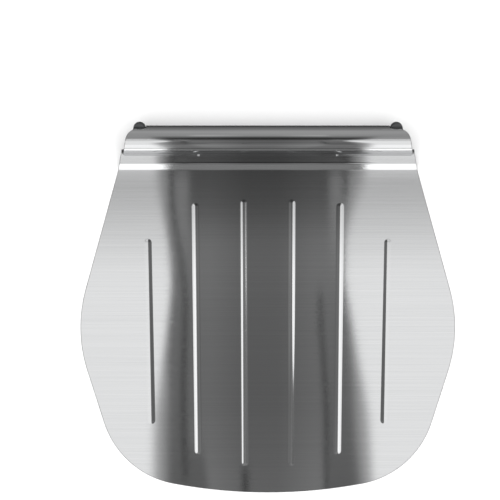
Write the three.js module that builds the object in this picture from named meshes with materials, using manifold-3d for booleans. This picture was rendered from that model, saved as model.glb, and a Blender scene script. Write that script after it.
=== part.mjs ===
// Cake lifter: a wide stainless steel plate that slides under a cake layer, with its rear end rolled into a
// tube handle that two black plastic caps close.
// Millimetres, +Z up, +Y from the front tip towards the handle. The plate lies on z = 0, and the origin is
// under the middle of the whole part.

import * as THREE from 'three';
import { mergeVertices } from 'three/addons/utils/BufferGeometryUtils.js';
import Module from 'manifold-3d';

const wasm = await Module();
wasm.setup();

const degree = Math.PI / 180;

// Sheet
const sheetThickness = 0.6;
const clearance = 0.3;
const overrun = 2;

// Plate outline, with its distances taken from the front tip
const bladeWidth = 260;
const widestAt = 114.8;
const plateLength = 223.8;
const frontRadius = 355;
const cornerRadius = 63;
const hipRadius = 100;
const frontTaper = 17.9 * degree;
const rearTaper = 15.3 * degree;

// Handle, rolled from the same sheet
const rollDiameter = 20;
const landLength = 8.1;
const joggleRadius = 1.2;
const joggleAngle = 43 * degree;
const creaseRadius = 1;
const lipSetback = 2;
const handleTaper = 9 * degree;
const shoulderPastTop = 54 * degree;
const shoulderRadius = 11.5;
const shoulderStep = 2.6;

// Pressed beads: how far each pair lies from the middle, and where along the plate it starts and ends
const beadWidth = 5.7;
const beadHeight = 0.2;
const innerBeads = { frontX: 16, rearX: 16.8, frontY: 18, rearY: 203.9 };
const middleBeads = { frontX: 48.2, rearX: 50.3, frontY: 26.1, rearY: 201.4 };
const outerBeads = { frontX: 80.8, rearX: 83.4, frontY: 47.4, rearY: 176.5 };

// Spot welds between the lip and the land
const weldSpacing = 96.2;
const weldInset = 3.4;
const nuggetDiameter = 4;
const dimpleDiameter = 2;
const dimpleDepth = 0.15;

// End caps
const capLength = 9;
const capProud = 2.6;
const capDome = 0.5;
const capAboveTable = 0.1;
const spigotLength = 18;
const spigotWall = 1.6;
const spigotFloor = 2;
const ribCount = 6;
const ribHeight = 0.6;
const ribWidth = 1.4;
const ribLeadIn = 4;

// Facets
const rollFacet = 5 * degree;
const bendFacet = 15 * degree;
const arcSteps = 9;
const turnSteps = 48;
const beadSteps = 5;
const weldSteps = 24;
const bowlSteps = 4;
const sliverShare = 0.02;

// Finishes
const steel = { color: 0xb9bbbd, roughness: 0.28, metalness: 1 };
const blackPlastic = { color: 0x1c1d1f, roughness: 0.45, metalness: 0 };

// Sizes that follow from the ones above
const rollRadius = rollDiameter / 2;
const rollMiddle = rollRadius - sheetThickness / 2;
const boreRadius = rollRadius - sheetThickness;
const plugRadius = boreRadius - clearance;
const capRadius = rollRadius + capProud;
const layerStep = sheetThickness + clearance;
const joggleHeight = capAboveTable + capProud + layerStep;
const riserLength = (joggleHeight - 2 * joggleRadius * (1 - Math.cos(joggleAngle))) / Math.sin(joggleAngle);

// The crease turns the sheet back just so far that the roll's bottom comes round one layer under the land.
const creaseReach = creaseRadius + rollMiddle;
const creaseAngle = Math.acos((creaseRadius - rollMiddle + layerStep) / creaseReach);

const joggleReach = 2 * joggleRadius * Math.sin(joggleAngle) + riserLength * Math.cos(joggleAngle);
const landY = plateLength + joggleReach;
const creaseY = landY + landLength;
const landMiddleZ = joggleHeight + sheetThickness / 2;
const rollY = creaseY + creaseReach * Math.sin(creaseAngle);
const rollZ = landMiddleZ - layerStep + rollMiddle;
const lipLength = rollY - landY - lipSetback;
const overallLength = rollY + capRadius;

// The sheet's middle line, from the front tip: straight runs, and bends that turn up (+) or down (-)
const upToRoll = [
  { run: plateLength },
  { turn: joggleAngle, radius: joggleRadius, facet: bendFacet },
  { run: riserLength },
  { turn: -joggleAngle, radius: joggleRadius, facet: bendFacet },
  { run: landLength },
  { turn: creaseAngle, radius: creaseRadius, facet: bendFacet },
];
const sheetPath = [
  ...upToRoll,
  { turn: -creaseAngle - Math.PI, radius: rollMiddle, facet: rollFacet },
  { run: lipLength },
];

const lengthOf = (leg) => leg.run ?? Math.abs(leg.turn) * leg.radius;
const rollStart = upToRoll.reduce((sum, leg) => sum + lengthOf(leg), 0);
const shoulderAt = rollStart + (creaseAngle + shoulderPastTop) * rollMiddle;

// Where the sheet's middle line is, and which way it heads, after a distance along it
function pathPoint(distance) {
  let left = distance;
  let y = 0;
  let z = sheetThickness / 2;
  let heading = 0;
  for (const leg of sheetPath) {
    const length = lengthOf(leg);
    const used = Math.min(left, length);
    if (leg.run === undefined) {
      const side = Math.sign(leg.turn);
      const next = heading + (side * used) / leg.radius;
      y += side * leg.radius * (Math.sin(next) - Math.sin(heading));
      z -= side * leg.radius * (Math.cos(next) - Math.cos(heading));
      heading = next;
    } else {
      y += used * Math.cos(heading);
      z += used * Math.sin(heading);
    }
    left -= used;
    if (left <= 0) break;
  }
  return { y, z, heading };
}

// Right half of the flat blank up to the shoulder, x across and y along the sheet
function blankOutline() {
  const hip = new THREE.Vector2(bladeWidth / 2 - hipRadius, widestAt);
  const along = new THREE.Vector2(Math.sin(frontTaper), Math.cos(frontTaper));
  const inward = new THREE.Vector2(-along.y, along.x);

  // The corner lies one corner radius inside the front taper, and touches the front arc from within.
  const onTaper = hip.clone().addScaledVector(inward, cornerRadius - hipRadius);
  const fromFrontCentre = onTaper.clone().sub(new THREE.Vector2(0, frontRadius));
  const half = fromFrontCentre.dot(along);
  const gap = fromFrontCentre.lengthSq() - (frontRadius - cornerRadius) ** 2;
  const corner = onTaper.clone().addScaledVector(along, -half - Math.sqrt(half * half - gap));
  const frontSweep = Math.atan2(corner.x, frontRadius - corner.y);

  // The rear taper runs to the joggle, and a gentler one from there to the shoulder's corner.
  const rearStart = hip.y + hipRadius * Math.sin(rearTaper);
  const rearX = hip.x + hipRadius * Math.cos(rearTaper) - (plateLength - rearStart) * Math.tan(rearTaper);
  const shoulderY = shoulderAt - shoulderRadius;
  const taperX = rearX - (shoulderY - plateLength) * Math.tan(handleTaper);
  const shoulderX = taperX - shoulderRadius / Math.cos(handleTaper);

  const quarter = Math.PI / 2;
  const path = new THREE.Path();
  const firstFacet = frontSweep / (2 * arcSteps + 1);
  path.absarc(0, frontRadius, frontRadius, firstFacet - quarter, frontSweep - quarter, false);
  path.absarc(corner.x, corner.y, cornerRadius, frontSweep - quarter, -frontTaper, false);
  path.absarc(hip.x, hip.y, hipRadius, -frontTaper, rearTaper, false);
  path.lineTo(rearX, plateLength);
  path.absarc(shoulderX, shoulderY, shoulderRadius, handleTaper, quarter, false);
  return path.getPoints(arcSteps);
}

const outline = blankOutline();
const shoulder = outline.at(-1);
const tailHalf = shoulder.x - shoulderStep;

function halfWidth(distance) {
  if (distance > shoulder.y) return tailHalf;
  const next = Math.max(1, outline.findIndex((point) => point.y >= distance));
  const [from, to] = [outline[next - 1], outline[next]];
  return THREE.MathUtils.mapLinear(distance, from.y, to.y, from.x, to.x);
}

// Distances along the sheet at which it has a row of vertices, with near repeats left out
function sheetStations() {
  const found = outline.map((point) => point.y);
  let start = 0;
  for (const leg of sheetPath) {
    const length = lengthOf(leg);
    const steps = leg.run === undefined ? Math.ceil(Math.abs(leg.turn) / leg.facet) : 1;
    for (let step = 1; step <= steps; step += 1) found.push(start + (length * step) / steps);
    start += length;
  }
  found.sort((a, b) => a - b);
  const sliver = sheetThickness * sliverShare;
  return found.filter((value, i) => value === shoulder.y
    || (Math.abs(value - shoulder.y) > sliver && (i === 0 || value - found[i - 1] > sliver)));
}

// The blank, folded: each row keeps its width and moves onto the bent middle line. Up to the shoulder a row
// has its two edges and the two lines on which the tail's edges start, and past it the tail's edges alone.
function foldedSheet() {
  const positions = [];
  const index = [];
  const coreShare = tailHalf / shoulder.x;
  const lift = sheetThickness / 2;
  const rows = sheetStations().map((distance) => {
    const { y, z, heading } = pathPoint(distance);
    const half = halfWidth(distance);
    const core = half * coreShare;
    const across = distance > shoulder.y ? [-half, half] : [-half, -core, core, half];
    return across.map((x) => {
      const first = positions.length / 3;
      positions.push(x, y - lift * Math.sin(heading), z + lift * Math.cos(heading));
      positions.push(x, y + lift * Math.sin(heading), z - lift * Math.cos(heading));
      return { top: first, bottom: first + 1 };
    });
  });

  const quad = (a, b, c, d) => index.push(a, b, c, a, c, d);
  const endWall = (a, b) => quad(b.bottom, a.bottom, a.top, b.top);

  rows[0].slice(1).forEach((b, i) => endWall(b, rows[0][i]));
  for (let i = 1; i < rows.length; i += 1) {
    const after = rows[i];
    const narrows = after.length < rows[i - 1].length;
    const before = narrows ? rows[i - 1].slice(1, 3) : rows[i - 1];
    if (narrows) {
      endWall(rows[i - 1][0], rows[i - 1][1]);
      endWall(rows[i - 1][2], rows[i - 1][3]);
    }
    for (let k = 1; k < after.length; k += 1) {
      quad(before[k - 1].top, before[k].top, after[k].top, after[k - 1].top);
      quad(before[k - 1].bottom, after[k - 1].bottom, after[k].bottom, before[k].bottom);
    }
    const [left, right] = [before[0], before.at(-1)];
    const [leftNext, rightNext] = [after[0], after.at(-1)];
    quad(right.bottom, rightNext.bottom, rightNext.top, right.top);
    quad(left.top, leftNext.top, leftNext.bottom, left.bottom);
  }
  endWall(rows.at(-1)[0], rows.at(-1)[1]);

  const geometry = new THREE.BufferGeometry();
  geometry.setAttribute('position', new THREE.Float32BufferAttribute(positions, 3));
  geometry.setIndex(index);
  return geometry;
}

// A closed geometry as a solid: shared vertices merged, and the flat triangles of poles left out
function solid(geometry) {
  const plain = geometry.clone();
  plain.deleteAttribute('normal');
  plain.deleteAttribute('uv');
  const merged = mergeVertices(plain);
  const corners = merged.index.array;
  const triangles = [];
  for (let i = 0; i < corners.length; i += 3) {
    const [a, b, c] = [corners[i], corners[i + 1], corners[i + 2]];
    if (a !== b && b !== c && c !== a) triangles.push(a, b, c);
  }
  return new wasm.Manifold(new wasm.Mesh({
    numProp: 3,
    vertProperties: new Float32Array(merged.attributes.position.array),
    triVerts: new Uint32Array(triangles),
  }));
}

function meshOf(name, body, finish) {
  const { vertProperties, triVerts } = body.getMesh();
  const geometry = new THREE.BufferGeometry();
  geometry.setAttribute('position', new THREE.BufferAttribute(vertProperties, 3));
  geometry.setIndex(new THREE.BufferAttribute(triVerts, 1));
  geometry.computeVertexNormals();
  const mesh = new THREE.Mesh(geometry, new THREE.MeshStandardMaterial(finish));
  mesh.name = name;
  return mesh;
}

// A round-ended bar with a low oval section, as wide as a bead where it comes out of the plate's face
function beadBar(from, to) {
  const lift = sheetThickness / 2;
  const rise = lift + beadHeight;
  const radius = beadWidth / 2 / Math.sqrt(1 - (lift / rise) ** 2);
  const bar = new THREE.CapsuleGeometry(radius, from.distanceTo(to) - beadWidth, beadSteps, 4 * beadSteps);
  bar.scale(1, 1, rise / radius);
  bar.rotateZ(Math.atan2(from.x - to.x, to.y - from.y));
  bar.translate((from.x + to.x) / 2, (from.y + to.y) / 2, lift);
  return solid(bar);
}

// A bead is pressed up out of the plate: a low ridge on top, and the same form sunk into the underside.
function pressBead(sheet, { frontX, rearX, frontY, rearY }, side) {
  const bar = beadBar(new THREE.Vector2(side * frontX, frontY), new THREE.Vector2(side * rearX, rearY));
  const headroom = beadHeight + overrun;
  const above = new THREE.BoxGeometry(bladeWidth, 2 * plateLength, headroom);
  above.translate(0, 0, (sheetThickness + headroom) / 2);
  return sheet.add(bar.intersect(solid(above))).subtract(bar.translate([0, 0, -sheetThickness]));
}

// A spot weld joins the lip to the land and leaves a shallow dimple where the electrode pressed.
function spotWeld(sheet, side) {
  const x = (side * weldSpacing) / 2;
  const y = rollY - lipLength + weldInset;
  const nugget = new THREE.CylinderGeometry(nuggetDiameter / 2, nuggetDiameter / 2, layerStep, weldSteps);
  nugget.rotateX(Math.PI / 2);
  nugget.translate(x, y, landMiddleZ - layerStep / 2);

  const dimpleRadius = dimpleDiameter / 2;
  const bowl = (dimpleRadius ** 2 + dimpleDepth ** 2) / (2 * dimpleDepth);
  const spread = Math.asin(dimpleRadius / bowl);
  const profile = new THREE.Path();
  profile.absarc(0, bowl - dimpleDepth, bowl, -Math.PI / 2, spread - Math.PI / 2, false);
  profile.lineTo(dimpleRadius, overrun);
  profile.lineTo(0, overrun);
  const dimple = new THREE.LatheGeometry(profile.getPoints(bowlSteps), weldSteps);
  dimple.rotateX(Math.PI / 2);
  dimple.translate(x, y, landMiddleZ + sheetThickness / 2);
  return sheet.add(solid(nugget)).subtract(solid(dimple));
}

function blade() {
  let sheet = solid(foldedSheet());
  for (const side of [-1, 1]) {
    for (const pair of [innerBeads, middleBeads, outerBeads]) sheet = pressBead(sheet, pair, side);
    sheet = spotWeld(sheet, side);
  }
  return meshOf('blade', sheet, steel);
}

// The plug turned about its axis: a hollow spigot below, a domed head with a full round rim above
function plugBody() {
  const rimRadius = (capLength - capDome) / 2;
  const stem = plugRadius - ribHeight;
  const bore = stem - spigotWall;
  const profile = new THREE.Path();
  profile.moveTo(0, -spigotFloor);
  profile.lineTo(bore, -spigotFloor);
  profile.lineTo(bore, -spigotLength);
  profile.lineTo(stem - spigotWall / 2, -spigotLength);
  profile.lineTo(stem, -spigotLength + spigotWall);
  profile.lineTo(stem, 0);
  profile.absarc(capRadius - rimRadius, rimRadius, rimRadius, -Math.PI / 2, Math.PI / 2, false);
  profile.quadraticCurveTo((capRadius - rimRadius) / 2, capLength, 0, capLength);
  return new THREE.LatheGeometry(profile.getPoints(arcSteps), turnSteps);
}

// One crush rib along the spigot, with a sloped lead-in at its free end
function crushRib(side, angle) {
  const foot = plugRadius - ribHeight - spigotWall / 2;
  const end = -spigotLength + spigotWall;
  const profile = new THREE.Shape();
  profile.moveTo(side * capLength / 2, foot);
  profile.lineTo(side * capLength / 2, plugRadius);
  profile.lineTo(side * (end + ribLeadIn), plugRadius);
  profile.lineTo(side * end, plugRadius - ribHeight);
  profile.lineTo(side * end, foot);
  const rib = new THREE.ExtrudeGeometry(profile, { depth: ribWidth, bevelEnabled: false });
  rib.translate(0, 0, -ribWidth / 2);
  rib.rotateX(angle);
  return solid(rib);
}

// The room that a cap's rim leaves free for the wide front skin, the crease and the land, seen along the roll
function skinRoom() {
  const reach = capRadius + overrun;
  const skinEnd = Math.PI / 2 - shoulderPastTop - clearance / rollMiddle;
  const crease = new THREE.Vector2(-Math.sin(creaseAngle), Math.cos(creaseAngle));
  crease.multiplyScalar(creaseReach);
  const creaseRoom = creaseReach - plugRadius;
  const underLand = crease.y - creaseRoom;
  const toRoll = creaseAngle - Math.PI / 2;
  const room = new THREE.Shape();
  room.moveTo(plugRadius * Math.cos(skinEnd), plugRadius * Math.sin(skinEnd));
  room.absarc(0, 0, reach, skinEnd, Math.PI - Math.asin(underLand / reach), false);
  room.absarc(crease.x, crease.y, creaseRoom, -Math.PI / 2, toRoll, false);
  room.absarc(0, 0, plugRadius, toRoll + Math.PI, skinEnd, true);
  const depth = 2 * (capLength + overrun);
  const block = new THREE.ExtrudeGeometry(room, {
    depth,
    bevelEnabled: false,
    curveSegments: turnSteps / 2,
  });
  block.translate(0, 0, -depth / 2);
  const right = new THREE.Vector3(1, 0, 0);
  const rear = new THREE.Vector3(0, 1, 0);
  const up = new THREE.Vector3(0, 0, 1);
  block.applyMatrix4(new THREE.Matrix4().makeBasis(rear, up, right));
  return solid(block);
}

// A cap in its own frame: the roll's axis is x, and x = 0 is the face that meets the tail's end
function endCap(name, side) {
  const turned = plugBody();
  turned.rotateZ((-side * Math.PI) / 2);
  let cap = solid(turned);
  for (let i = 0; i < ribCount; i += 1) {
    cap = cap.add(crushRib(side, (i * 2 * Math.PI) / ribCount));
  }
  return meshOf(name, cap.subtract(skinRoom()), blackPlastic);
}

const cakeLifter = new THREE.Group();
cakeLifter.position.y = -overallLength / 2;
cakeLifter.add(blade());
for (const [name, side] of [['end_cap_left', -1], ['end_cap_right', 1]]) {
  const cap = endCap(name, side);
  cap.position.set(side * (tailHalf + clearance), rollY, rollZ);
  cakeLifter.add(cap);
}

export default cakeLifter;
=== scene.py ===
import math

import bpy
import numpy as np
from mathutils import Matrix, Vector
from mathutils.geometry import delaunay_2d_cdt


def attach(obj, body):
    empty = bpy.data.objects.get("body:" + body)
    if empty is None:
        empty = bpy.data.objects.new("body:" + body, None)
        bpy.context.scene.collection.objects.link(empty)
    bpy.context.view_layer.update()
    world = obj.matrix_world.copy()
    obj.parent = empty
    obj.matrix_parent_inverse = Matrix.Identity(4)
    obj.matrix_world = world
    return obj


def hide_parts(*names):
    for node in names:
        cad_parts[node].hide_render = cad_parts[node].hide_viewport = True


# Cake lifter: a brushed stainless steel blade whose rear end is rolled into a tube handle, and two black end
# caps. Sizes are in millimetres up to where a mesh is made, and MM turns them into the frame's metres.

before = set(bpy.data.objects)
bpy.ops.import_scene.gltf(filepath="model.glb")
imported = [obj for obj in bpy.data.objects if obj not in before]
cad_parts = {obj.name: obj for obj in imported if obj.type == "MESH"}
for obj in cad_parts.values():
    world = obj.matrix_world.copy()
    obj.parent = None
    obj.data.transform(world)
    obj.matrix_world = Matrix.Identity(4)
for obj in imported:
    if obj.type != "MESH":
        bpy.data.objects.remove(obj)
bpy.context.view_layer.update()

MM = 0.001
DEGREE = math.pi / 180

# Sheet. The trims keep its rounded form inside the CAD model's box, at its edge and at its faces.
SHEET_THICKNESS = 0.6
CLEARANCE = 0.3
EDGE_ROUND = 0.26
EDGE_TRIM = 0.03
FACE_TRIM = 0.01

# Plate outline, with its distances taken from the front tip
BLADE_WIDTH = 260
WIDEST_AT = 114.8
PLATE_LENGTH = 223.8
FRONT_RADIUS = 355
CORNER_RADIUS = 63
HIP_RADIUS = 100
FRONT_TAPER = 17.9 * DEGREE
REAR_TAPER = 15.3 * DEGREE

# Handle, rolled from the same sheet
ROLL_RADIUS = 10
LAND_LENGTH = 8.1
JOGGLE_RADIUS = 1.2
JOGGLE_ANGLE = 43 * DEGREE
CREASE_RADIUS = 1
LIP_SETBACK = 2
HANDLE_TAPER = 9 * DEGREE
SHOULDER_PAST_TOP = 54 * DEGREE
SHOULDER_RADIUS = 11.5
SHOULDER_STEP = 2.6
CAP_RADIUS = 12.6
CAP_ABOVE_TABLE = 0.1

# Pressed beads: half spacing at the front and rear ends, and where along the plate they start and end
BEAD_WIDTH = 5.7
BEAD_HEIGHT = 0.18
BEAD_PAIRS = (
    {"front_x": 16, "rear_x": 16.8, "front_y": 18, "rear_y": 203.9},
    {"front_x": 48.2, "rear_x": 50.3, "front_y": 26.1, "rear_y": 201.4},
    {"front_x": 80.8, "rear_x": 83.4, "front_y": 47.4, "rear_y": 176.5},
)

# How strongly a painted highlight lightens the crests of each pair of beads, from 0 to 1
BEAD_HIGHLIGHT = (1, 1, 0.1)

# The inner bead on the right is shallower at its front end: its place in bead_lines, its share of the height
# there, and the distances from the front tip between which it grows to the full height
SHALLOW_BEAD = 1
SHALLOW_SHARE = 0.55
SHALLOW_BETWEEN = (64, 120)

# The land has a low crown at its front end: the slope at distances from there, and how much of the crown is
# left at distances from the middle. The bends at both ends of the land take up the difference in height.
LAND_SLOPES = ((0, -0.05), (0.5, -0.04), (1, 0), (LAND_LENGTH, 0))
CROWN_ACROSS = ((62, 1), (80, 0))

# The fold between the roll and the land has painted shade, a darker colour that stands in for the shade of
# the tight fold: the shade's strength at distances past the crease, and how much of it there is at distances
# from the middle
CREASE_SHADE_ALONG = ((0, 0), (4, 1), (11.5, 1), (14.5, 0))
CREASE_SHADE_ACROSS = ((44, 1), (50, 0.3))

# Spot welds
WELD_SPACING = 96.2
WELD_INSET = 3.4
DIMPLE_DIAMETER = 2
DIMPLE_DEPTH = 0.15

# How finely the blade is meshed
ROW_STEP = 4
COLUMN_STEP = 4
ROLL_FACET = 4 * DEGREE
BEND_FACET = 10 * DEGREE
ARC_STEP = 1.5 * DEGREE
BEAD_RINGS = 6
BEAD_STEP = 3
DIMPLE_RINGS = 4
RING_TURN = 15 * DEGREE
RIM_STEPS = 4
POINT_GAP = 1.2
ROW_TOLERANCE = 1e-4
CDT_EPSILON = 1e-5

# Sizes that follow from the ones above
ROLL_MIDDLE = ROLL_RADIUS - SHEET_THICKNESS / 2
LAYER_STEP = SHEET_THICKNESS + CLEARANCE
JOGGLE_HEIGHT = CAP_ABOVE_TABLE + CAP_RADIUS - ROLL_RADIUS + LAYER_STEP
RISER_LENGTH = (JOGGLE_HEIGHT - 2 * JOGGLE_RADIUS * (1 - math.cos(JOGGLE_ANGLE))) / math.sin(JOGGLE_ANGLE)
CREASE_REACH = CREASE_RADIUS + ROLL_MIDDLE
CREASE_ANGLE = math.acos((CREASE_RADIUS - ROLL_MIDDLE + LAYER_STEP) / CREASE_REACH)
JOGGLE_REACH = 2 * JOGGLE_RADIUS * math.sin(JOGGLE_ANGLE) + RISER_LENGTH * math.cos(JOGGLE_ANGLE)
LAND_Y = PLATE_LENGTH + JOGGLE_REACH
ROLL_Y = LAND_Y + LAND_LENGTH + CREASE_REACH * math.sin(CREASE_ANGLE)
LIP_LENGTH = ROLL_Y - LAND_Y - LIP_SETBACK
OVERALL_LENGTH = ROLL_Y + CAP_RADIUS
TIP_Y = -OVERALL_LENGTH / 2

# The sheet's middle line from the front tip, as (length, turn) legs. A turn is up (+) or down (-), or zero.
JOGGLE_LENGTH = JOGGLE_RADIUS * JOGGLE_ANGLE
UP_TO_ROLL = (
    (PLATE_LENGTH, 0),
    (JOGGLE_LENGTH, JOGGLE_ANGLE),
    (RISER_LENGTH, 0),
    (JOGGLE_LENGTH, -JOGGLE_ANGLE),
    (LAND_LENGTH, 0),
    (CREASE_RADIUS * CREASE_ANGLE, CREASE_ANGLE),
)
ROLL_TURN = CREASE_ANGLE + math.pi
ROLL_LENGTH = ROLL_MIDDLE * ROLL_TURN
LEGS = UP_TO_ROLL + ((ROLL_LENGTH, -ROLL_TURN), (LIP_LENGTH, 0))
SHEET_LENGTH = sum(length for length, turn in LEGS)
LAND_START = sum(length for length, turn in UP_TO_ROLL[:4])
ROLL_START = sum(length for length, turn in UP_TO_ROLL)
SHOULDER_AT = ROLL_START + (CREASE_ANGLE + SHOULDER_PAST_TOP) * ROLL_MIDDLE


def middle_line(along):
    """Where the sheet's middle line is after the distances along it, and which way it heads there"""
    y = np.zeros_like(along)
    z = np.full_like(along, SHEET_THICKNESS / 2)
    heading = np.zeros_like(along)
    start = 0
    for length, turn in LEGS:
        used = np.clip(along - start, 0, length)
        if turn:
            radius = length / turn
            after = heading + used / radius
            y += radius * (np.sin(after) - np.sin(heading))
            z -= radius * (np.cos(after) - np.cos(heading))
            heading = after
        else:
            y += used * np.cos(heading)
            z += used * np.sin(heading)
        start += length
    return y, z, heading


def arc(centre, radius, start, end):
    """Points along an arc, both ends included"""
    steps = max(2, math.ceil(abs(end - start) / ARC_STEP))
    angles = np.linspace(start, end, steps + 1)
    return np.asarray(centre) + radius * np.stack([np.cos(angles), np.sin(angles)], 1)


def right_outline():
    """Right half of the flat blank, x across and y along the sheet, from the front tip to the tail's end"""
    hip = np.array([BLADE_WIDTH / 2 - HIP_RADIUS, WIDEST_AT])
    along = np.array([math.sin(FRONT_TAPER), math.cos(FRONT_TAPER)])
    inward = np.array([-along[1], along[0]])

    # The corner lies one corner radius inside the front taper, and touches the front arc from within.
    on_taper = hip + inward * (CORNER_RADIUS - HIP_RADIUS)
    from_front_centre = on_taper - [0, FRONT_RADIUS]
    half = from_front_centre @ along
    gap = from_front_centre @ from_front_centre - (FRONT_RADIUS - CORNER_RADIUS) ** 2
    corner = on_taper - along * (half + math.sqrt(half * half - gap))
    front_sweep = math.atan2(corner[0], FRONT_RADIUS - corner[1])

    rear_start = hip[1] + HIP_RADIUS * math.sin(REAR_TAPER)
    rear_x = hip[0] + HIP_RADIUS * math.cos(REAR_TAPER) - (PLATE_LENGTH - rear_start) * math.tan(REAR_TAPER)
    shoulder_y = SHOULDER_AT - SHOULDER_RADIUS
    taper_x = rear_x - (shoulder_y - PLATE_LENGTH) * math.tan(HANDLE_TAPER)
    shoulder_x = taper_x - SHOULDER_RADIUS / math.cos(HANDLE_TAPER)
    tail_half = shoulder_x - SHOULDER_STEP

    quarter = math.pi / 2
    return np.concatenate([
        arc((0, FRONT_RADIUS), FRONT_RADIUS, -quarter, front_sweep - quarter),
        arc(corner, CORNER_RADIUS, front_sweep - quarter, -FRONT_TAPER)[1:],
        arc(hip, HIP_RADIUS, -FRONT_TAPER, REAR_TAPER)[1:],
        [(rear_x, PLATE_LENGTH)],
        arc((shoulder_x, shoulder_y), SHOULDER_RADIUS, HANDLE_TAPER, quarter),
        [(tail_half, SHOULDER_AT), (tail_half, SHEET_LENGTH)],
    ])


def sheet_rows():
    """Distances along the sheet at which it has a row of points, and those of them that bends need"""
    rows = [0.0]
    bend_rows = []
    start = 0
    for length, turn in LEGS:
        facet = ROLL_FACET if length == ROLL_LENGTH else BEND_FACET
        steps = math.ceil(abs(turn) / facet) if turn else math.ceil(length / ROW_STEP)
        ends = np.linspace(start, start + length, steps + 1)
        rows.extend(ends[1:])
        if turn:
            bend_rows.extend(ends)
        start += length
    rows.extend(LAND_START + at for at, slope in LAND_SLOPES[1:-1])
    rows.sort()
    return np.array(rows), np.array(bend_rows)


def trimmed_loop(points, inset):
    """A closed loop of points, anticlockwise, moved inwards, and the outward direction at each of them"""
    ahead = np.roll(points, -1, 0) - points
    ahead /= np.linalg.norm(ahead, axis=1)[:, None]
    before = np.roll(ahead, 1, 0)
    outward = np.stack([ahead[:, 1] + before[:, 1], -ahead[:, 0] - before[:, 0]], 1)
    outward /= np.linalg.norm(outward, axis=1)[:, None]
    return points - outward * inset, outward


def blank_loop(rows):
    """The blank's whole outline, with a point on each row, anticlockwise from the front tip"""
    half = right_outline()
    step = np.flatnonzero(np.isclose(half[:, 1], SHOULDER_AT))
    front, tail = half[: step[-1]], half[step[-1]:]
    sides = []
    for part in (front, tail):
        inside = rows[(rows > part[0, 1] + CDT_EPSILON) & (rows < part[-1, 1] - CDT_EPSILON)]
        if len(inside):
            apart = np.abs(inside[:, None] - part[:, 1]).min(1)
            inside = inside[apart > EDGE_ROUND / 2]
        added = np.stack([np.interp(inside, part[:, 1], part[:, 0]), inside], 1)
        whole = np.concatenate([part, added])
        sides.append(whole[np.argsort(whole[:, 1], kind="stable")])
    right = np.concatenate(sides)
    across_tail = np.linspace(right[-1], right[-1] * [-1, 1], round(2 * right[-1, 0] / COLUMN_STEP))[1:-1]
    left = right[:0:-1] * [-1, 1]
    return np.concatenate([right, across_tail, left])


def bead_lines():
    """The middle line of each bead as its two end points, the half widths taken off"""
    lines = []
    for pair in BEAD_PAIRS:
        for side in (-1, 1):
            front = np.array([side * pair["front_x"], pair["front_y"]])
            rear = np.array([side * pair["rear_x"], pair["rear_y"]])
            inset = (rear - front) / np.linalg.norm(rear - front) * BEAD_WIDTH / 2
            lines.append((front + inset, rear - inset))
    return lines


def weld_points():
    """The middles of the two spot welds on the flat blank"""
    along = LAND_START + (ROLL_Y - LIP_LENGTH + WELD_INSET) - LAND_Y
    return [np.array([side * WELD_SPACING / 2, along]) for side in (-1, 1)]


def ring_round(start, end, radius):
    """Closed ring of points at one distance from a line, round at both ends"""
    ahead = end - start
    length = np.linalg.norm(ahead)
    turn = math.atan2(ahead[1], ahead[0]) if length else 0
    half_turn = np.arange(-math.pi / 2, math.pi / 2 + RING_TURN / 2, RING_TURN)
    cap = np.stack([np.cos(half_turn), np.sin(half_turn)], 1) * radius
    steps = max(1, round(length / BEAD_STEP))
    way = (np.arange(1, steps) / steps * length)[:, None]
    straight = np.concatenate([way, np.zeros_like(way)], 1)
    far = cap + [length, 0]
    up = straight[::-1] + [0, radius]
    down = straight + [0, -radius]
    near = -cap
    ring = np.concatenate([down, far, up, near]) if length else np.concatenate([cap[:-1], -cap[:-1]])
    c, s = math.cos(turn), math.sin(turn)
    return start + ring @ np.array([[c, s], [-s, c]])


def distance_to_line(points, start, end):
    """Distance of points from a line between two points, and the direction away from it"""
    ahead = end - start
    share = np.clip((points - start) @ ahead / max(ahead @ ahead, CDT_EPSILON), 0, 1)
    away = points - (start + share[:, None] * ahead)
    distance = np.linalg.norm(away, axis=1)
    return distance, away / np.maximum(distance, CDT_EPSILON)[:, None]


def ridge(points, start, end, half_width, height):
    """Height and slopes of a smooth ridge, or of a bowl where the height is below zero"""
    distance, away = distance_to_line(points, start, end)
    share = np.minimum(distance / half_width, 1)
    rise = height * np.cos(math.pi / 2 * share) ** 2
    slope = -height * math.pi / 2 / half_width * np.sin(math.pi * share)
    return rise, slope[:, None] * away


def land_relief(points):
    """How far the land stands off its flat form at each point, and its slope along the sheet"""
    along = points[:, 1]
    places, tilts = np.array(LAND_SLOPES).T
    heights = np.concatenate([[0], np.cumsum(np.diff(places) * (tilts[1:] + tilts[:-1]) / 2)])
    heights -= (heights.min() + heights.max()) / 2
    marks = np.concatenate([[LAND_START - JOGGLE_LENGTH], LAND_START + places, [ROLL_START]])
    crown = np.interp(np.abs(points[:, 0]), *zip(*CROWN_ACROSS))
    rise = crown * np.interp(along, marks, np.concatenate([[0], heights, [0]]))
    on_land = (along >= marks[1] - CDT_EPSILON) & (along <= marks[-2] + CDT_EPSILON)
    return rise, np.where(on_land, crown * np.interp(along, marks[1:-1], tilts), 0)


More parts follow.
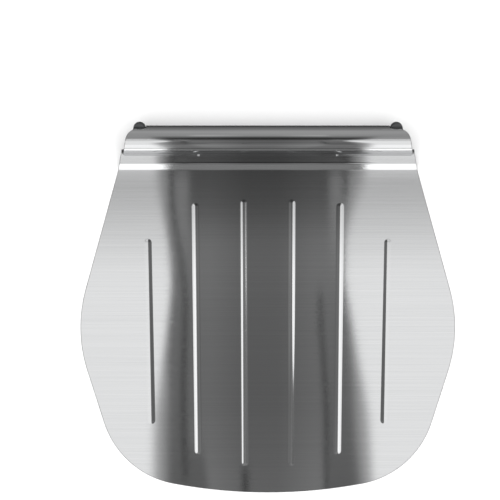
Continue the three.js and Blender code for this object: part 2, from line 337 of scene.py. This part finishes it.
def relief(points, upper):
    """How far the sheet's upper or lower face stands off its flat form, its slopes across and along, and how
    strongly its painted highlight lightens it at each point"""
    slopes = np.zeros_like(points)
    rise, slopes[:, 1] = land_relief(points)
    bead_highlight = np.zeros(len(points))
    for number, (start, end) in enumerate(bead_lines()):
        more, tilt = ridge(points, start, end, BEAD_WIDTH / 2, BEAD_HEIGHT)
        if number == SHALLOW_BEAD:
            share = np.interp(points[:, 1], SHALLOW_BETWEEN, (SHALLOW_SHARE, 1))
            more *= share
            tilt *= share[:, None]
        rise += more
        slopes += tilt
        # Painted highlight, strongest on the bead crests
        bead_highlight += BEAD_HIGHLIGHT[number // 2] * np.sqrt(more / BEAD_HEIGHT)
    if upper:
        for weld in weld_points():
            more, tilt = ridge(points, weld, weld, DIMPLE_DIAMETER / 2, -DIMPLE_DEPTH)
            rise += more
            slopes += tilt
    return rise, slopes, bead_highlight


def painted_crease_shade(points):
    """How strongly the fold's painted shade covers each point, from 0 to 1"""
    strength = np.interp(points[:, 1] - ROLL_START, *zip(*CREASE_SHADE_ALONG))
    return strength * np.interp(np.abs(points[:, 0]), *zip(*CREASE_SHADE_ACROSS))


def on_middle_line(points):
    """Where places on the flat blank lie on the folded middle line, and which way up and on are there"""
    y, z, heading = middle_line(points[:, 1])
    level = np.zeros_like(y)
    up = np.stack([level, -np.sin(heading), np.cos(heading)], 1)
    on = np.stack([level, np.cos(heading), np.sin(heading)], 1)
    return np.stack([points[:, 0], y, z], 1), up, on


def folded(points, offset, rise, slopes, facing):
    """Points and normals of one face of the sheet once it is folded, for places on the flat blank"""
    middle, up, on = on_middle_line(points)
    normal = up - on * slopes[:, 1:]
    normal[:, 0] = -slopes[:, 0]
    normal *= facing
    return middle + up * (offset + rise)[:, None], normal / np.linalg.norm(normal, axis=1)[:, None]


def pressed_rings():
    """Rings of points over each bead and dimple, with a line or point in its middle, and which are closed"""
    rings = []
    for start, end in bead_lines():
        for share in np.arange(1, BEAD_RINGS + 1) / BEAD_RINGS:
            rings.append((ring_round(start, end, BEAD_WIDTH / 2 * share), True))
        steps = round(np.linalg.norm(end - start) / BEAD_STEP)
        rings.append((np.linspace(start, end, steps + 1), False))
    for weld in weld_points():
        for share in np.arange(1, DIMPLE_RINGS + 1) / DIMPLE_RINGS:
            rings.append((ring_round(weld, weld, DIMPLE_DIAMETER / 2 * share), True))
        rings.append((weld[None], False))
    return rings


def lines_across(rows, loop):
    """A line of points across the blank on each row, clear of its edge's loop, its beads and its dimples"""
    half = right_outline()
    front = half[: np.flatnonzero(np.isclose(half[:, 1], SHOULDER_AT))[-1]]
    tail_half = half[-1, 0]
    keep_off = [(start, end, BEAD_WIDTH / 2 + POINT_GAP) for start, end in bead_lines()]
    keep_off += [(weld, weld, DIMPLE_DIAMETER / 2 + POINT_GAP / 2) for weld in weld_points()]
    lines = []
    for row in rows:
        edge = tail_half if row > SHOULDER_AT - POINT_GAP else np.interp(row, front[:, 1], front[:, 0])
        columns = np.arange(0, edge - POINT_GAP, COLUMN_STEP)
        columns = np.concatenate([-columns[:0:-1], columns])
        line = np.stack([columns, np.full_like(columns, row)], 1)
        clear = np.linalg.norm(line[:, None] - loop, axis=2).min(1) > POINT_GAP / 2
        for start, end, reach in keep_off:
            clear &= distance_to_line(line, start, end)[0] > reach
        lines.append(line[clear])
    return lines


def flat_mesh():
    """Triangles over the flat blank: points, triangles, and the edge's loop and its outward directions"""
    rows, bend_rows = sheet_rows()
    loop, outward = trimmed_loop(blank_loop(rows), EDGE_TRIM + EDGE_ROUND)
    points = [loop]
    count = len(loop)
    edges = [(i, (i + 1) % count) for i in range(count)]
    for ring, closed in pressed_rings():
        points.append(ring)
        size = len(ring)
        edges += [(count + i, count + (i + 1) % size) for i in range(size if closed else size - 1)]
        count += size
    inner_rows = rows[1:-1]
    for row, line in zip(inner_rows, lines_across(inner_rows, loop)):
        points.append(line)
        if np.abs(bend_rows - row).min() < ROW_TOLERANCE:
            edges += [(count + i, count + i + 1) for i in range(len(line) - 1)]
        count += len(line)

    flat = np.concatenate(points)
    found, _, triangles, origins, _, _ = delaunay_2d_cdt(
        [Vector(p) for p in flat], edges, [list(range(len(loop)))], 1, CDT_EPSILON
    )
    place_of = {origin: i for i, group in enumerate(origins) for origin in group}
    return np.array(found), np.array(triangles), [place_of[i] for i in range(len(loop))], outward


def rim_rings(edge, outward, lift):
    """Rings of points round the sheet's edge, from its upper to its lower face, and their normals: a quarter
    round, the straight wall and another quarter round"""
    middle, up, on = on_middle_line(edge)
    out = on * outward[:, 1:]
    out[:, 0] = outward[:, 0]
    quarter = np.linspace(0, math.pi / 2, RIM_STEPS + 1)[1:]
    drop = EDGE_ROUND * (1 - np.cos(quarter))
    reach = EDGE_ROUND * np.concatenate([np.sin(quarter), np.sin(quarter[::-1])])
    level = np.concatenate([lift - drop, drop[::-1] - lift])
    tilt = np.concatenate([quarter, math.pi - quarter[::-1]])
    places = [middle + out * far + up * height for far, height in zip(reach, level)]
    normals = [out * math.sin(angle) + up * math.cos(angle) for angle in tilt]
    return places, normals


def blade_mesh():
    """The folded sheet with its beads and dimples: upper and lower face, and a rounded edge between them"""
    flat, triangles, loop, outward = flat_mesh()
    lift = SHEET_THICKNESS / 2 - FACE_TRIM
    places = []
    normals = []
    for facing in (1, -1):
        rise, slopes, bead_highlight = relief(flat, facing > 0)
        place, normal = folded(flat, facing * lift, rise, slopes, facing)
        places.append(place)
        normals.append(normal)
    size = len(flat)
    faces = [tuple(t) for t in triangles] + [tuple(size + i for i in t[::-1]) for t in triangles]
    corner_uvs = [flat[i] for t in triangles for i in t] + [flat[i] for t in triangles for i in t[::-1]]

    edge = flat[loop]
    rim_places, rim_normals = rim_rings(edge, outward, lift)
    places += rim_places
    normals += rim_normals
    rings = [2 * size + k * len(loop) + np.arange(len(loop)) for k in range(len(rim_places))]
    around = [np.array(loop), *rings, size + np.array(loop)]
    paths = [edge + outward * EDGE_ROUND * k for k in range(len(around))]
    for k in range(len(around) - 1):
        for i in range(len(loop)):
            j = (i + 1) % len(loop)
            faces.append((around[k][i], around[k + 1][i], around[k + 1][j], around[k][j]))
            corner_uvs += [paths[k][i], paths[k + 1][i], paths[k + 1][j], paths[k][j]]

    mesh = bpy.data.meshes.new("blade_visual")
    everywhere = (np.concatenate(places) + [0, TIP_Y, 0]) * MM
    mesh.from_pydata(everywhere.tolist(), [], [tuple(int(i) for i in f) for f in faces])
    uv = mesh.uv_layers.new(name="grain")
    uv.uv.foreach_set("vector", (np.array(corner_uvs)[:, ::-1] * MM).astype(np.float32).ravel())
    on_rim = np.zeros(len(loop) * len(rings))
    # Point attributes for the steel's colour: painted highlight on the bead crests, and painted shade in the
    # fold
    for name, shares in (("bead_highlight", bead_highlight), ("crease_shade", painted_crease_shade(flat))):
        layer = mesh.attributes.new(name, "FLOAT", "POINT")
        layer.data.foreach_set("value", np.concatenate([shares, shares, on_rim]))
    rim_faces = len(mesh.polygons) - 2 * len(triangles)
    mesh.polygons.foreach_set("material_index", [0] * (2 * len(triangles)) + [1] * rim_faces)
    mesh.polygons.foreach_set("use_smooth", [True] * len(mesh.polygons))
    mesh.normals_split_custom_set_from_vertices(np.concatenate(normals).tolist())
    mesh.validate()
    return mesh


def link(name, data):
    """A new object in the scene"""
    made = bpy.data.objects.new(name, data)
    bpy.context.scene.collection.objects.link(made)
    return made


# Materials: pairs of tones and of roughness that a noise runs between, the scales of the noises along x, y
# and z, and the heights of the bumps in metres. Most of a noise's values lie between its low and its high.
NOISE_LOW = 0.3
NOISE_HIGH = 0.7
STEEL_TONES = ((0.558, 0.563, 0.568), (0.608, 0.612, 0.616))
# Painted highlight colour for the bead crests
BEAD_HIGHLIGHT_TONE = (0.77, 0.775, 0.78)
# Painted shade colour for the fold between the roll and the land
CREASE_SHADE_TONE = (0.26, 0.262, 0.265)
STEEL_ROUGHNESS = (0.055, 0.063)
PATCHES_ROUGHNESS = (0, 0.01)
STEEL_ANISOTROPY = 0.95
HAIRS_SCALE = (9, 2600, 2600)
HAIRS_HEIGHT = 0.000004
STROKES_SCALE = (4, 420, 420)
STROKES_HEIGHT = 0.000005
PATCHES_SCALE = (14, 22, 22)
SHEARED_TONES = ((0.1, 0.1, 0.102), (0.15, 0.151, 0.153))
SHEARED_ROUGHNESS = (0.34, 0.44)
SHEARED_SCALE = (1500, 1500, 300)
SHEARED_HEIGHT = 0.00002
PLASTIC_TONES = ((0.042, 0.043, 0.045), (0.052, 0.053, 0.055))
PLASTIC_ROUGHNESS = (0.36, 0.46)
PLASTIC_GRAIN_SCALE = (2600, 2600, 2600)
PLASTIC_GRAIN_HEIGHT = 0.00002
PLASTIC_SHEEN_SCALE = (160, 160, 160)
FLOOR_TONES = ((0.92, 0.92, 0.92), (0.94, 0.94, 0.94))
FLOOR_SCALE = (3, 3, 3)
FLOOR_ROUGHNESS = 0.9
FLOOR_SPECULAR = 0.1


class Nodes:
    """A material's or world's node tree, with short calls to add and join nodes"""

    def __init__(self, owner):
        owner.use_nodes = True
        self.owner = owner
        self.tree = owner.node_tree
        self.shader = self.tree.nodes.get("Principled BSDF")

    def add(self, kind, **settings):
        node = self.tree.nodes.new(kind)
        for key, value in settings.items():
            setattr(node, key, value)
        return node

    def join(self, source, target):
        self.tree.links.new(source, target)

    def noise(self, scale, detail=2.0, roughness=0.5):
        """A noise over the object's own coordinates, stretched by three scales, as a value from 0 to 1"""
        place = self.add("ShaderNodeTexCoord")
        stretch = self.add("ShaderNodeMapping")
        stretch.inputs["Scale"].default_value = scale
        cloud = self.add("ShaderNodeTexNoise")
        cloud.inputs["Scale"].default_value = 1
        cloud.inputs["Detail"].default_value = detail
        cloud.inputs["Roughness"].default_value = roughness
        self.join(place.outputs["Object"], stretch.inputs["Vector"])
        self.join(stretch.outputs["Vector"], cloud.inputs["Vector"])
        return cloud.outputs["Fac"]

    def between(self, value, low, high, start=NOISE_LOW, end=NOISE_HIGH):
        """The value's range from start to end, spread from low to high"""
        spread = self.add("ShaderNodeMapRange")
        for key, number in (("From Min", start), ("From Max", end), ("To Min", low), ("To Max", high)):
            spread.inputs[key].default_value = number
        self.join(value, spread.inputs["Value"])
        return spread.outputs["Result"]

    def place(self, axis, kind="Object"):
        """The object's own coordinate along one axis, or a world direction's with the kind Generated"""
        whole = self.add("ShaderNodeTexCoord")
        parts = self.add("ShaderNodeSeparateXYZ")
        self.join(whole.outputs[kind], parts.inputs["Vector"])
        return parts.outputs[axis]

    def maths(self, operation, *values):
        """The result of a Math node for one or two values"""
        node = self.add("ShaderNodeMath", operation=operation)
        for value, socket in zip(values, node.inputs):
            self.join(value, socket)
        return node.outputs["Value"]

    def attribute(self, name):
        """What one of the mesh's point attributes holds"""
        return self.add("ShaderNodeAttribute", attribute_name=name).outputs["Fac"]

    def profile(self, value, stops):
        """A grey that runs through (value, grey) stops, which are in rising order"""
        low, high = stops[0][0], stops[-1][0]
        ramp = self.add("ShaderNodeValToRGB")
        elements = ramp.color_ramp.elements
        for at, grey in stops[1:-1]:
            elements.new((at - low) / (high - low)).color = (grey, grey, grey, 1)
        for element, (at, grey) in ((elements[0], stops[0]), (elements[-1], stops[-1])):
            element.color = (grey, grey, grey, 1)
        self.join(self.between(value, 0, 1, low, high), ramp.inputs["Fac"])
        return ramp.outputs["Color"]

    def glow(self, tone, strength=1):
        """The finished material, which glows in a tone: a grey that is the same all over, or a socket"""
        lamp = self.add("ShaderNodeEmission")
        lamp.inputs["Strength"].default_value = strength
        if isinstance(tone, float):
            lamp.inputs["Color"].default_value = (tone, tone, tone, 1)
        else:
            self.join(tone, lamp.inputs["Color"])
        self.join(lamp.outputs["Emission"], self.tree.nodes["Material Output"].inputs["Surface"])
        return self.owner

    def blend(self, value, dark, light):
        """A colour between two others, each a tuple or a socket"""
        mix = self.add("ShaderNodeMix", data_type="RGBA")
        factor, first, second = (socket for socket in mix.inputs if socket.enabled)
        for socket, colour in ((first, dark), (second, light)):
            if isinstance(colour, tuple):
                socket.default_value = (*colour, 1)
            else:
                self.join(colour, socket)
        self.join(value, factor)
        return next(socket for socket in mix.outputs if socket.enabled)

    def bump(self, height, distance, below=None):
        """The normal over bumps of one height, in metres, and over those of the bump below them"""
        lift = self.add("ShaderNodeBump")
        lift.inputs["Strength"].default_value = 1
        lift.inputs["Distance"].default_value = distance
        self.join(height, lift.inputs["Height"])
        if below:
            self.join(below, lift.inputs["Normal"])
        return lift.outputs["Normal"]


def brushed_steel():
    """Stainless steel brushed across the blade: streaks run along x, and so highlights smear along y"""
    made = Nodes(bpy.data.materials.new("brushed_steel"))
    shader = made.shader
    shader.inputs["Metallic"].default_value = 1
    shader.inputs["Anisotropic"].default_value = STEEL_ANISOTROPY
    tangent = made.add("ShaderNodeTangent", direction_type="UV_MAP", uv_map="grain")
    made.join(tangent.outputs["Tangent"], shader.inputs["Tangent"])

    hairs = made.noise(HAIRS_SCALE, detail=3, roughness=0.6)
    strokes = made.noise(STROKES_SCALE)
    patches = made.noise(PATCHES_SCALE)
    tone = made.blend(made.between(hairs, 0, 1), *STEEL_TONES)
    # Painted highlight: lighter colour on the bead crests
    tone = made.blend(made.attribute("bead_highlight"), tone, BEAD_HIGHLIGHT_TONE)
    # Painted shade: darker colour in the fold between the roll and the land
    tone = made.blend(made.attribute("crease_shade"), tone, CREASE_SHADE_TONE)
    streaky = made.between(strokes, *STEEL_ROUGHNESS)
    patchy = made.between(patches, *PATCHES_ROUGHNESS)
    made.join(tone, shader.inputs["Base Color"])
    made.join(made.maths("ADD", streaky, patchy), shader.inputs["Roughness"])
    made.join(made.bump(hairs, HAIRS_HEIGHT, made.bump(strokes, STROKES_HEIGHT)), shader.inputs["Normal"])
    return made.owner


def sheared_steel():
    """The sheet's cut edge: duller and darker than its faces, with fine marks across it"""
    made = Nodes(bpy.data.materials.new("sheared_steel"))
    shader = made.shader
    shader.inputs["Metallic"].default_value = 1
    marks = made.noise(SHEARED_SCALE)
    made.join(made.blend(made.between(marks, 0, 1), *SHEARED_TONES), shader.inputs["Base Color"])
    made.join(made.between(marks, *SHEARED_ROUGHNESS), shader.inputs["Roughness"])
    made.join(made.bump(marks, SHEARED_HEIGHT), shader.inputs["Normal"])
    return made.owner


def moulded_plastic():
    """Black polypropylene with a fine spark-eroded grain"""
    made = Nodes(bpy.data.materials.new("moulded_plastic"))
    shader = made.shader
    grain = made.noise(PLASTIC_GRAIN_SCALE)
    sheen = made.noise(PLASTIC_SHEEN_SCALE, detail=3)
    made.join(made.blend(made.between(sheen, 0, 1), *PLASTIC_TONES), shader.inputs["Base Color"])
    made.join(made.between(sheen, *PLASTIC_ROUGHNESS), shader.inputs["Roughness"])
    made.join(made.bump(grain, PLASTIC_GRAIN_HEIGHT), shader.inputs["Normal"])
    return made.owner


def pale_floor():
    """The plain floor, almost white and matt"""
    made = Nodes(bpy.data.materials.new("pale_floor"))
    mottle = made.noise(FLOOR_SCALE, detail=3)
    made.join(made.blend(made.between(mottle, 0, 1), *FLOOR_TONES), made.shader.inputs["Base Color"])
    made.shader.inputs["Roughness"].default_value = FLOOR_ROUGHNESS
    made.shader.inputs["Specular IOR Level"].default_value = FLOOR_SPECULAR
    return made.owner


# Pieces
steel = brushed_steel()
plastic = moulded_plastic()

blade = link("blade_visual", blade_mesh())
blade.data.materials.append(steel)
blade.data.materials.append(sheared_steel())
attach(blade, "root")
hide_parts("blade")

for side in ("left", "right"):
    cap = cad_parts[f"end_cap_{side}"]
    cap.data.materials.clear()
    cap.data.materials.append(plastic)

# Camera: straight down over the middle of the photograph
PHOTO_PIXELS = 500
PHOTO_SCALE = 0.6944
CENTRE_LINE_PIXEL = 267.8
TIP_PIXEL = 492.5
CAMERA_DISTANCE = 1300
SENSOR = 36

camera_x = (PHOTO_PIXELS / 2 - CENTRE_LINE_PIXEL) * PHOTO_SCALE
camera_y = TIP_Y + (TIP_PIXEL - PHOTO_PIXELS / 2) * PHOTO_SCALE
camera_data = bpy.data.cameras.new("camera")
camera_data.sensor_width = SENSOR
camera_data.lens = SENSOR * CAMERA_DISTANCE / (PHOTO_PIXELS * PHOTO_SCALE)
camera = link("camera", camera_data)
camera.location = Vector((camera_x, camera_y, CAMERA_DISTANCE + SHEET_THICKNESS)) * MM
bpy.context.scene.camera = camera

# Studio, in metres: a low tent of softboxes left and right of a darker gap over the part. The camera is
# above the tent and doesn't see it. Cards that only reflections see give the gap its outline and its greys,
# draw thin dark lines on it, dim the light towards the rear, and lie dark on the floor before the plate and
# behind the roll. The wash light brightens the floor behind the part and is itself not reflected.
TENT_INNER = 0.06
TENT_STRIP = 0.4
TENT_SIDE = 1.1
TENT_FRONT = -1.3
TENT_FAR = -1.08
TENT_MIDDLE = -0.3
TENT_REAR = 0.17
WASH_REAR = 1.3
TENT_FOOT = 0.01
TENT_LOW = 0.26
TENT_TOP = 0.5
DOWNWARDS = (0, 0, -1)
REARWARDS = (0, 1, 0)

# How bright the softboxes are: over the plate, in a strip before it, at that strip's far end and down the
# front wall, at the foot of that wall, out at the sides, and over the floor behind the part
KEY = 0.83
FRONT_KEY = 1.06
FAR_KEY = 0.66
LOW_KEY = 1.8
SIDE_KEY = 0.38
WASH = 0.4

# How bright the world is: for reflections as (height of the direction, tone) stops, and for all else
FILL = 0.415
SKY_TONES = ((0, 0.28), (0.12, 0.37), (0.42, 0.5), (0.8, 0.43), (1, FILL))
FLOOR_FILL = 0.85

# Gap in the tent: its outline as (y, left x, right x, softness of the left edge, softness of the right edge)
GAP_HEIGHT = 0.496
GAP = (
    (0.5, -0.11, 0.115, 0.02, 0.02),
    (0.2, -0.1, 0.1, 0.02, 0.02),
    (0.108, -0.099, 0.094, 0.02, 0.026),
    (0.05, -0.0914, 0.0791, 0.0005, 0.0005),
    (0.0115, -0.0875, 0.0782, 0.001, 0.001),
    (-0.0655, -0.0957, 0.0905, 0.01, 0.014),
    (-0.12, -0.1015, 0.0985, 0.025, 0.027),
    (-0.2, -0.102, 0.1035, 0.026, 0.023),
    (-0.48, -0.1065, 0.116, 0.02, 0.018),
    (TENT_FRONT, -0.134, 0.154, 0.02, 0.018),
)

# The stages of its soft edges: how far outside the outline they lie, as a share of the softness, and how
# much they show of the light beside the gap
EDGE_SHARES = (0.28, 0, -0.55)
EDGE_LIGHT = (1, 0.4, 0)

# Its tones along the middle and along the sides, as (y, tone), how the middle gains outwards, and where the
# sides begin
GAP_MIDDLE = (
    (TENT_FRONT, 0.2),
    (-0.87, 0.195),
    (-0.39, 0.26),
    (-0.2, 0.2),
    (-0.16, 0.18),
    (-0.1, 0.157),
    (-0.027, 0.167),
    (0.03, 0.19),
    (0.05, 0.18),
    (0.079, 0.11),
    (0.108, 0.08),
    (0.14, 0.07),
    (0.16, 0.035),
    (0.2, 0.03),
    (0.26, 0.08),
    (0.4, FILL),
)
GAP_SIDE = (
    (TENT_FRONT, 0.2),
    (-0.39, 0.26),
    (-0.2, 0.16),
    (-0.104, 0.19),
    (-0.027, 0.21),
    (0.0115, 0.25),
    (0.05, 0.3),
    (0.079, 0.28),
    (0.116, 0.28),
    (0.12, 0.08),
    (0.2, 0.05),
    (0.4, FILL),
)
GAP_GAIN = 1.35
GAP_GAIN_BETWEEN = (0.015, 0.05)
GAP_LEFT_STEP = (-0.073, -0.069)
GAP_RIGHT_STEP = (0.062, 0.066)

# Thin darker lines along the gap, as a width and (x, y) points, and a darker wedge in its left side, which
# the front of the plate reflects
LINE_HEIGHT = 0.494
LINE_TONE = 0.04
LINES = (
    (0.0035, (
        (-0.0875, 0.125), (-0.0875, 0.0886), (-0.0837, 0.0597), (-0.0779, 0.0308), (-0.074, -0.0078),
        (-0.076, -0.0752), (-0.076, -0.1233), (-0.074, -0.18),
    )),
    (0.0035, ((0.055, -0.003), (0.056, -0.0366), (0.0589, -0.0752), (0.0608, -0.1233), (0.0608, -0.2))),
    (0.0035, ((0.079, 0.125), (0.079, 0.088))),
    (0.0055, ((-0.0172, -0.1695), (-0.0167, -0.2))),
)
WEDGE_TONE = 0.16
WEDGE = ((-0.0715, -0.15), (-0.0575, -0.15), (-0.0525, -0.185), (-0.051, -0.21), (-0.0715, -0.21))

# A card in the light's place over the plate's rear, the land and the roll, as (y, share of the light)
FADE_HEIGHT = 0.498
FADE_FROM = 0.02
FADE_TO = 0.17
FADE_TONES = (
    (FADE_FROM, 1),
    (0.115, 0.46),
    (0.12, 1),
    (0.14, 1),
    (0.144, 0.55),
    (0.16, 0.5),
    (FADE_TO, 0.33),
)

# The wall at the gap's front end, with its tones as (z, tone), the dark flags on the floor, the rear one
# with its tones as (y, tone), and the low wall behind the roll
WALL_TONES = ((0, 0.3), (0.18, 0.3), (0.26, 0.13), (0.45, 0.13), (GAP_HEIGHT, 0.2))
FLAG_HEIGHT = 0.00005
FRONT_FLAG_REAR = -0.135
FRONT_FLAG_TONE = 0.055
REAR_FLAG_SIDE = 0.12
REAR_FLAG_FRONT = 0.11
REAR_FLAG_TONES = ((0.12, 0.05), (0.14, 0.08), (0.158, 0.17), (0.25, 0.27), (1, 0.3))
REAR_WALL_SIDE = 0.5
REAR_WALL_Y = 1
REAR_WALL_TOP = 0.12
REAR_WALL_TONE = 0.3

FLOOR_SIDE = 6
FLOOR_Z = -0.00005


def softbox(name, low, high, facing, radiance):
    """An area light over the rectangle between two corners, shining along facing"""
    low, high, facing = Vector(low), Vector(high), Vector(facing)
    turn = facing.to_track_quat("-Z", "Y")
    across, upward = turn @ Vector((1, 0, 0)), turn @ Vector((0, 1, 0))
    light = bpy.data.lights.new(name, "AREA")
    light.shape = "RECTANGLE"
    light.size = abs((high - low).dot(across))
    light.size_y = abs((high - low).dot(upward))
    light.energy = radiance * math.pi * light.size * light.size_y
    box = link(name, light)
    box.rotation_mode = "QUATERNION"
    box.rotation_quaternion = turn
    box.location = (low + high) / 2
    box.visible_camera = False
    return box


def card(name, material, points, faces=None):
    """A studio card that only reflections see: one face through its points, or the faces given"""
    mesh = bpy.data.meshes.new(name)
    mesh.from_pydata(points, [], faces or [tuple(range(len(points)))])
    mesh.materials.append(material)
    made = link(name, mesh)
    for ray in ("camera", "diffuse", "transmission", "shadow", "volume_scatter"):
        setattr(made, f"visible_{ray}", False)
    return made


def level_card(name, material, low, high, z):
    """A level rectangular card between two (x, y) corners"""
    (x0, y0), (x1, y1) = low, high
    return card(name, material, [(x0, y0, z), (x1, y0, z), (x1, y1, z), (x0, y1, z)])


def upright_card(name, material, low, high, y):
    """An upright rectangular card across the studio between two (x, z) corners"""
    (x0, z0), (x1, z1) = low, high
    return card(name, material, [(x0, y, z0), (x1, y, z0), (x1, y, z1), (x0, y, z1)])


def even_glow(name, tone):
    """A studio card's grey glow, the same all over"""
    return Nodes(bpy.data.materials.new(name)).glow(tone)


def graded_glow(name, axis, stops, strength=1):
    """A studio card's grey glow, by (place, tone) stops along one axis"""
    made = Nodes(bpy.data.materials.new(name))
    return made.glow(made.profile(made.place(axis), stops), strength)


def gap_glow():
    """The glow of the gap between the softboxes: one tone along its middle, which gains outwards, another
    along its sides, and the light beside it along its soft edges"""
    made = Nodes(bpy.data.materials.new("gap_tone"))
    x = made.place("X")
    y = made.place("Y")
    gain = made.between(made.maths("ABSOLUTE", x), 1, GAP_GAIN, *GAP_GAIN_BETWEEN)
    middle = made.maths("MULTIPLY", made.profile(y, GAP_MIDDLE), gain)
    left = made.between(x, 1, 0, *GAP_LEFT_STEP)
    right = made.between(x, 0, 1, *GAP_RIGHT_STEP)
    tone = made.blend(made.maths("ADD", left, right), middle, made.profile(y, GAP_SIDE))
    beside = made.profile(y, [(at, share * (KEY + FILL)) for at, share in FADE_TONES])
    return made.glow(made.blend(made.attribute("light"), tone, beside))


def gap_card():
    """The gap's card, with a column of points at each stage of its two soft edges"""
    points = []
    for y, left, right, left_soft, right_soft in GAP:
        points += [(left - share * left_soft, y, GAP_HEIGHT) for share in EDGE_SHARES]
        points += [(right + share * right_soft, y, GAP_HEIGHT) for share in EDGE_SHARES[::-1]]
    columns = 2 * len(EDGE_SHARES)
    faces = []
    for row in range(len(GAP) - 1):
        for column in range(columns - 1):
            first = row * columns + column
            faces.append((first, first + 1, first + 1 + columns, first + columns))
    made = card("gap", gap_glow(), points, faces)
    light = made.data.attributes.new("light", "FLOAT", "POINT")
    light.data.foreach_set("value", (EDGE_LIGHT + EDGE_LIGHT[::-1]) * len(GAP))
    return made


def line_card(name, material, width, points):
    """A line just below the gap's card, through (x, y) points"""
    one_side = [(x - width / 2, y, LINE_HEIGHT) for x, y in points]
    other_side = [(x + width / 2, y, LINE_HEIGHT) for x, y in points]
    return card(name, material, one_side + other_side[::-1])


def level_floor():
    """The floor, a little below the origin's plane so that the part doesn't share its surface"""
    mesh = bpy.data.meshes.new("floor")
    corners = [(sx * FLOOR_SIDE, sy * FLOOR_SIDE, 0) for sx, sy in ((-1, -1), (1, -1), (1, 1), (-1, 1))]
    mesh.from_pydata(corners, [], [(0, 1, 2, 3)])
    mesh.materials.append(pale_floor())
    made = link("floor", mesh)
    made.location.z = FLOOR_Z
    return made


for side, sign in (("left", -1), ("right", 1)):
    inner = sign * TENT_INNER
    strip = sign * TENT_STRIP
    outer = sign * TENT_SIDE
    inwards = (-sign, 0, 0)
    for name, low, high, facing, key in (
        ("top", (inner, TENT_MIDDLE, TENT_TOP), (outer, TENT_REAR, TENT_TOP), DOWNWARDS, KEY),
        ("top_strip", (inner, TENT_FAR, TENT_TOP), (strip, TENT_MIDDLE, TENT_TOP), DOWNWARDS, FRONT_KEY),
        ("top_far", (inner, TENT_FRONT, TENT_TOP), (strip, TENT_FAR, TENT_TOP), DOWNWARDS, FAR_KEY),
        ("top_front", (strip, TENT_FRONT, TENT_TOP), (outer, TENT_MIDDLE, TENT_TOP), DOWNWARDS, SIDE_KEY),
        ("front_strip", (inner, TENT_FRONT, TENT_LOW), (strip, TENT_FRONT, TENT_TOP), REARWARDS, FAR_KEY),
        ("low_strip", (inner, TENT_FRONT, TENT_FOOT), (strip, TENT_FRONT, TENT_LOW), REARWARDS, LOW_KEY),
        ("front", (strip, TENT_FRONT, TENT_FOOT), (outer, TENT_FRONT, TENT_TOP), REARWARDS, SIDE_KEY),
        ("side", (outer, TENT_FRONT, TENT_FOOT), (outer, TENT_REAR, TENT_TOP), inwards, SIDE_KEY),
    ):
        softbox(f"{name}_{side}", low, high, facing, key)
wash = softbox("wash", (-TENT_SIDE, TENT_REAR, TENT_TOP), (TENT_SIDE, WASH_REAR, TENT_TOP), DOWNWARDS, WASH)
wash.visible_glossy = False

gap = gap_card()
line_glow = even_glow("line_tone", LINE_TONE)
lines = [
    line_card(f"line_{number}", line_glow, width, points)
    for number, (width, points) in enumerate(LINES, 1)
]
wedge = card("wedge", even_glow("wedge_tone", WEDGE_TONE), [(x, y, LINE_HEIGHT) for x, y in WEDGE])
fade = level_card(
    "fade", graded_glow("fade_tone", "Y", FADE_TONES, KEY + FILL),
    (-TENT_SIDE, FADE_FROM), (TENT_SIDE, FADE_TO), FADE_HEIGHT,
)
wall_left, wall_right = GAP[-1][1:3]
gap_wall = upright_card(
    "gap_wall", graded_glow("gap_wall_tone", "Z", WALL_TONES),
    (wall_left, 0), (wall_right, GAP_HEIGHT), TENT_FRONT + TENT_FOOT,
)
front_flag = level_card(
    "front_flag", even_glow("front_flag_tone", FRONT_FLAG_TONE),
    (wall_left, TENT_FRONT), (wall_right, FRONT_FLAG_REAR), FLAG_HEIGHT,
)
rear_flag = level_card(
    "rear_flag", graded_glow("rear_flag_tone", "Y", REAR_FLAG_TONES),
    (-REAR_FLAG_SIDE, REAR_FLAG_FRONT), (REAR_FLAG_SIDE, REAR_WALL_Y), FLAG_HEIGHT,
)
rear_wall = upright_card(
    "rear_wall", even_glow("rear_wall_tone", REAR_WALL_TONE),
    (-REAR_WALL_SIDE, 0), (REAR_WALL_SIDE, REAR_WALL_TOP), REAR_WALL_Y,
)
floor = level_floor()

world = bpy.data.worlds.new("studio")
made = Nodes(world)
ray = made.add("ShaderNodeLightPath")
sky = made.profile(made.place("Z", "Generated"), SKY_TONES)
tone = made.blend(ray.outputs["Is Glossy Ray"], (FLOOR_FILL,) * 3, sky)
made.join(tone, made.tree.nodes["Background"].inputs["Color"])
bpy.context.scene.world = world
bpy.context.scene.view_settings.view_transform = "Standard"
